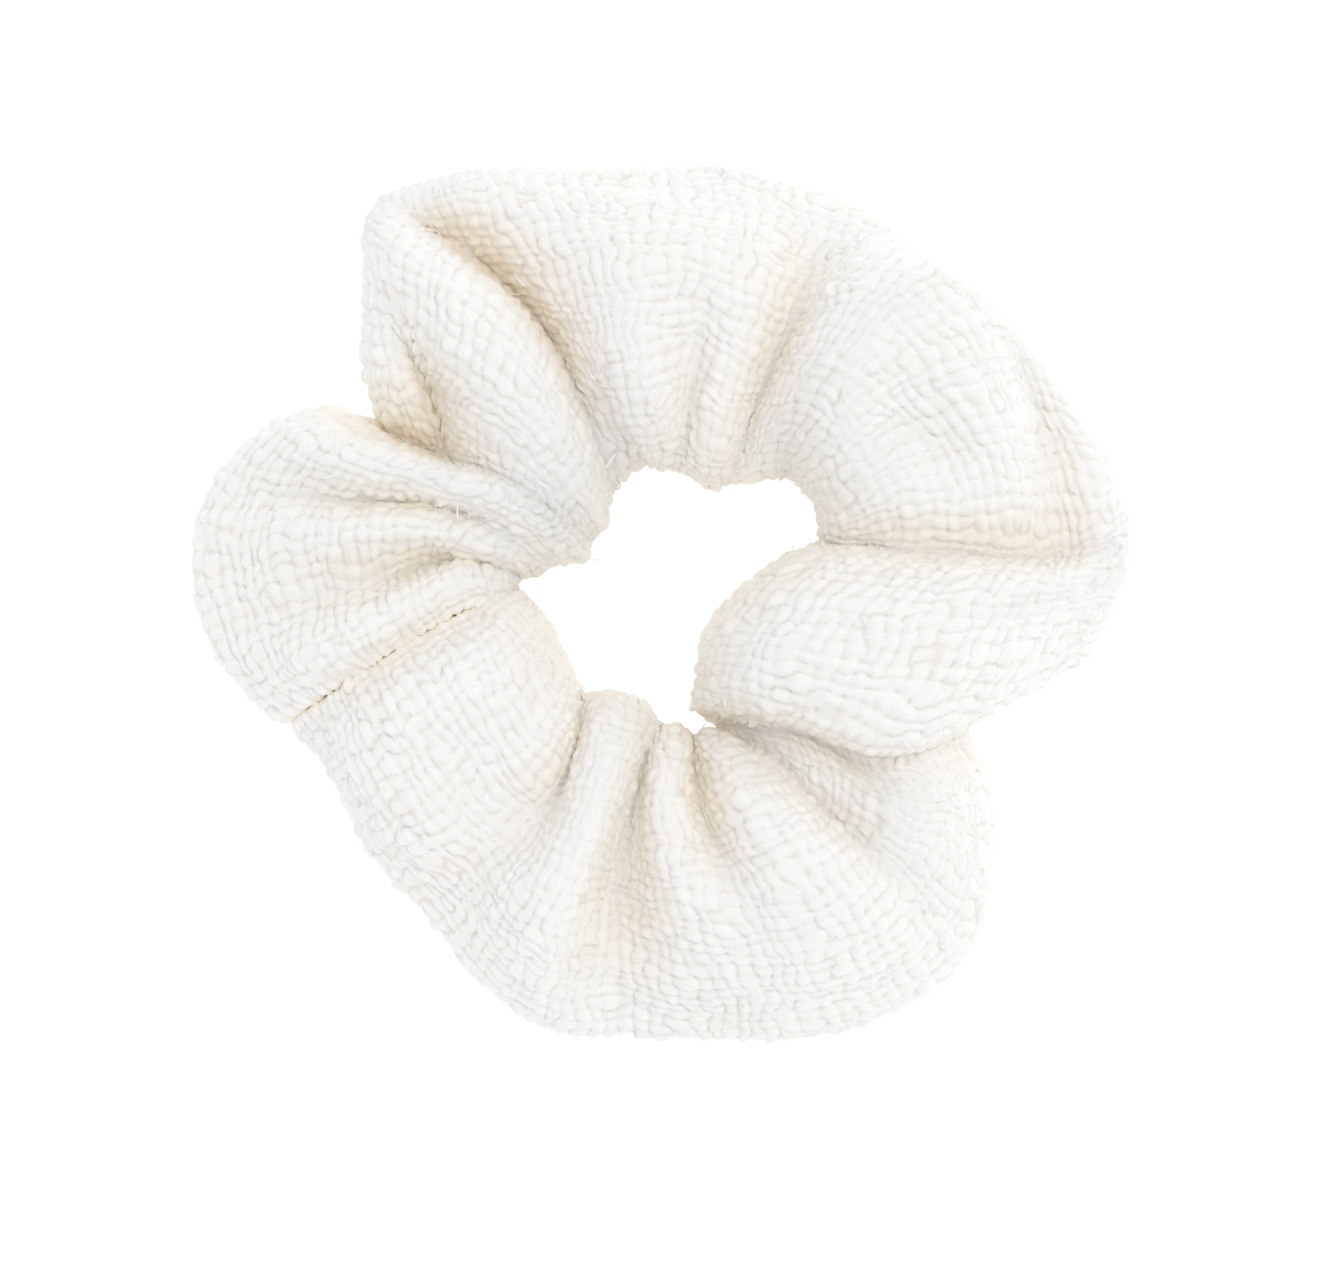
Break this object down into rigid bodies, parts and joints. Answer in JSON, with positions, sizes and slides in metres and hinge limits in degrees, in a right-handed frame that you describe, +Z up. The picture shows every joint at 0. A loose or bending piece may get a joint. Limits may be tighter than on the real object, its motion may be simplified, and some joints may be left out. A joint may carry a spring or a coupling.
{
  "type": "fabric scrunchie",
  "caption": "Gathered hair scrunchie: a sewn tube of thick woven cloth drawn up in folds over a loose ring of flat elastic.",
  "frame": {"origin": "middle of the scrunchie in plan, on the surface that it lies on", "axes": "+Z up, along the axis of the elastic ring; +X to the right and +Y away, as the scrunchie is seen from above"},
  "size_m": [0.1098, 0.1005, 0.028],
  "materials": {
    "woven_cloth": "thick plain weave of soft slubby yarn, warm white, matt",
    "sewing_thread": "spun sewing thread, off-white, faint sheen",
    "elastic": "braided flat elastic, white, matt, ribbed along its length",
    "join_thread": "spun sewing thread, white, faint sheen"
  },
  "bodies": {
    "casing": {"casing": "woven_cloth", "side_seam_needle_thread": "sewing_thread", "side_seam_bobbin_thread": "sewing_thread", "closing_seam_needle_thread": "sewing_thread", "closing_seam_bobbin_thread": "sewing_thread"},
    "elastic": {"elastic_band": "elastic", "elastic_join_needle_thread": "join_thread", "elastic_join_bobbin_thread": "join_thread"}
  },
  "joints": [
    {"name": "elastic_turn", "type": "hinge", "parent": "casing", "child": "elastic", "pos_m": [0.0015, 0.0004, 0.009], "axis": [0, 0, 1], "continuous": true}
  ]
}
